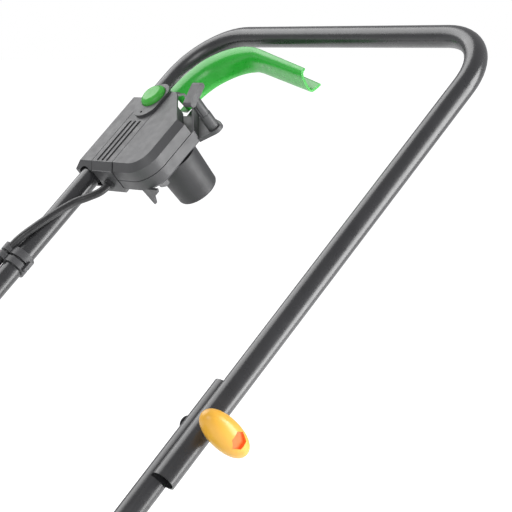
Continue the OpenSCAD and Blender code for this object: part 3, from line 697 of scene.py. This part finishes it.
def dress_deck():
    bead("deck_bottom_lip", loop(DECK_CIRCLES, 2.4, 41.2), 2.0, "chassis", "deck_plastic", True)
    bead("deck_shoulder_line", loop(DECK_CIRCLES, 1.5, 94.5), 1.4, "chassis", "deck_plastic", True)
    rounded_box("deck_front_panel", (-62, -252, 117), (62, -204, 121.6), 2.0, "chassis", "deck_plastic")
    for k in range(4):
        y = -242 + 9.3 * k
        bead(f"deck_front_rib_{k}", [on_deck(-48, y, 121.4), on_deck(48, y, 121.4)], 1.3, "chassis",
             "cover_plastic")
    for sign, side in ((1, "left"), (-1, "right")):
        collar = revolve(f"socket_collar_{side}", [(11.25 * MM, 0), (15.2 * MM, 0), (17.6 * MM, 1.6 * MM),
                         (17.6 * MM, 7.4 * MM), (16.3 * MM, 9 * MM), (11.25 * MM, 9 * MM)],
                         at_handle(sign * 206, 1043.5, 0), DOWN_LEG, "deck_plastic")
        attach(collar, "chassis")
        bead(f"deck_side_rib_{side}", [on_deck(sign * 146, y, 121) for y in (-150, -110, 100)], 2.2, "chassis",
             "deck_plastic")


def dress_motor_cover():
    bead("cover_base_line", loop(COVER_CIRCLES, 1.2, ROOF_Z + 24), 1.7, "chassis", "cover_plastic", True)
    bead("cover_crown_line", loop(COVER_CIRCLES, 23.4, ROOF_Z + 118), 1.7, "chassis", "cover_plastic", True)
    ring = [(math.cos(t), math.sin(t)) for t in (2 * math.pi * k / 48 for k in range(48))]
    for k, size in enumerate((50, 36, 22)):
        bead(f"cover_top_ring_{k}", [on_deck(a * size, b * size, ROOF_Z + 150) for a, b in ring], 1.4, "chassis",
             "cover_plastic", True)
    for sign, side in ((1, "left"), (-1, "right")):
        for y in (-70, 60):
            # painted shade: thin black crosses stand for the dark inside the cover screws' cross recesses
            name = f"cover_screw_slot_{side}_{'front' if y < 0 else 'back'}"
            for turned in (0, 1):
                half = (2.6, 0.5) if turned else (0.5, 2.6)
                rounded_box(f"{name}_{turned}", (sign * 118 - half[0], y - half[1], ROOF_Z + 8.0),
                            (sign * 118 + half[0], y + half[1], ROOF_Z + 8.55), 0.1, "chassis", "black_plastic")


# (y, z) down the middle of the lid, from behind the flap to the top
LID_SLOPE = [(345, 276.2), (376, 296.2), (421, 317.6), (430, 318.2)]


def dress_grass_box():
    bead("grass_box_rim", [on_deck(x, y, 207) for x, y in (
        (-173.5, 262), (-173.5, 604), (-168, 609.5), (168, 609.5), (173.5, 604), (173.5, 262))], 2.6, "grass_box",
         "cover_plastic")
    for k, x in enumerate((-92, -46, 0, 46, 92)):
        bead(f"lid_rib_{k}", [on_deck(x, y, z) for y, z in LID_SLOPE], 2.0, "grass_box", "deck_plastic")
    for sign, side in ((1, "left"), (-1, "right")):
        bead(f"lid_top_rib_{side}", [on_deck(sign * 104, y, 318) for y in (436, 480, 546)], 2.0, "grass_box",
             "deck_plastic")
        rounded_box(f"grass_box_latch_{side}", (sign * 120 - 16, 608, 196), (sign * 120 + 16, 613, 226), 2.2,
                    "grass_box", "black_plastic")


def dress_flap():
    slope = math.radians(33)

    def on_flap(x, y, z):
        return on_deck(x, 246 + y * math.cos(slope) - z * math.sin(slope),
                       223 + y * math.sin(slope) + z * math.cos(slope))
    bead("flap_edge", [on_flap(-121, 90.5, 0), on_flap(121, 90.5, 0)], 2.1, "rear_flap", "deck_plastic")
    for k, x in enumerate((-80, -40, 0, 40, 80)):
        bead(f"flap_rib_{k}", [on_flap(x, 26, 1.3), on_flap(x, 80, 1.3)], 1.5, "rear_flap", "deck_plastic")


def dress_wheel(name, side, y, radius):
    centre = on_deck(side * WHEEL_IN, y, radius)
    out = ACROSS * side
    r, w = radius, TYRE_WIDTH
    bead_ring = revolve(f"{name}_rim_bead", [((r - a) * MM, h * MM) for a, h in (
        (17.6, w - 6), (14.9, w - 6), (14.9, w - 2.2), (15.6, w - 1.4), (16.8, w - 1.6), (17.6, w - 2.6))],
        centre, out, "rim_plastic", 96)
    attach(bead_ring, f"{name}_wheel")
    cap_ring = revolve(f"{name}_cap_ring", [(a * MM, h * MM) for a, h in (
        (9.2, 35.0), (9.8, 35.9), (12.4, 35.6), (13.0, 34.6))], centre, out, "cap_plastic")
    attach(cap_ring, f"{name}_wheel")


dress_deck()
dress_motor_cover()
dress_grass_box()
dress_flap()
for wheel, (side, y, radius) in WHEELS.items():
    dress_wheel(wheel, side, y, radius)

# ---------------------------------------------------------------- floor, light and world


def make_floor():
    mesh = bpy.data.meshes.new("floor")
    size = 90.0
    mesh.from_pydata([(-size, -size, 0), (size, -size, 0), (size, size, 0), (-size, size, 0)], [], [(0, 1, 2, 3)])
    floor = bpy.data.objects.new("floor", mesh)
    scene.collection.objects.link(floor)
    m = Shader("floor_paper")
    m.set(Roughness=0.9, Specular_IOR_Level=0.1)
    m.shader.inputs["Emission Color"].default_value = (1, 1, 1, 1)
    seen = m.node("ShaderNodeLightPath").outputs["Is Camera Ray"]
    m.link(m.spread(seen, 0.22, 0.72, 0.0, 1.0), m.shader.inputs["Emission Strength"])
    m.link(m.colour_between(m.noise(400, 2), (0.93, 0.93, 0.93), (0.96, 0.96, 0.96)),
           m.shader.inputs["Base Color"])
    mesh.materials.append(m.done())


def area_light(name, place, target, width, height, power, colour=(1, 1, 1)):
    light = bpy.data.lights.new(name, "AREA")
    light.shape = "RECTANGLE"
    light.size, light.size_y = width, height
    light.energy = power
    light.color = colour
    made = bpy.data.objects.new(name, light)
    scene.collection.objects.link(made)
    made.location = place
    made.rotation_euler = (Vector(target) - Vector(place)).to_track_quat("-Z", "Y").to_euler()


def make_world():
    world = bpy.data.worlds.new("studio")
    scene.world = world
    world.use_nodes = True
    tree = world.node_tree
    background = tree.nodes["Background"]
    path = tree.nodes.new("ShaderNodeLightPath")
    mix = tree.nodes.new("ShaderNodeMix")
    mix.data_type = "RGBA"
    mix.inputs["A"].default_value = (0.42, 0.42, 0.43, 1)
    mix.inputs["B"].default_value = (1, 1, 1, 1)
    tree.links.new(path.outputs["Is Camera Ray"], mix.inputs["Factor"])
    tree.links.new(mix.outputs["Result"], background.inputs["Color"])
    background.inputs["Strength"].default_value = 1.0


make_floor()
make_world()
HEART = at_handle(0, 260, 0)
area_light("key", HEART + Vector((-1.9, -0.5, 2.2)), HEART, 2.6, 2.6, 62)
area_light("strip", HEART + Vector((1.35, 1.15, -0.05)), HEART, 0.9, 2.2, 46)
area_light("front", HEART + Vector((1.6, -2.4, 1.2)), HEART, 1.6, 1.6, 26)
scene.view_settings.view_transform = "Standard"
scene.view_settings.look = "None"
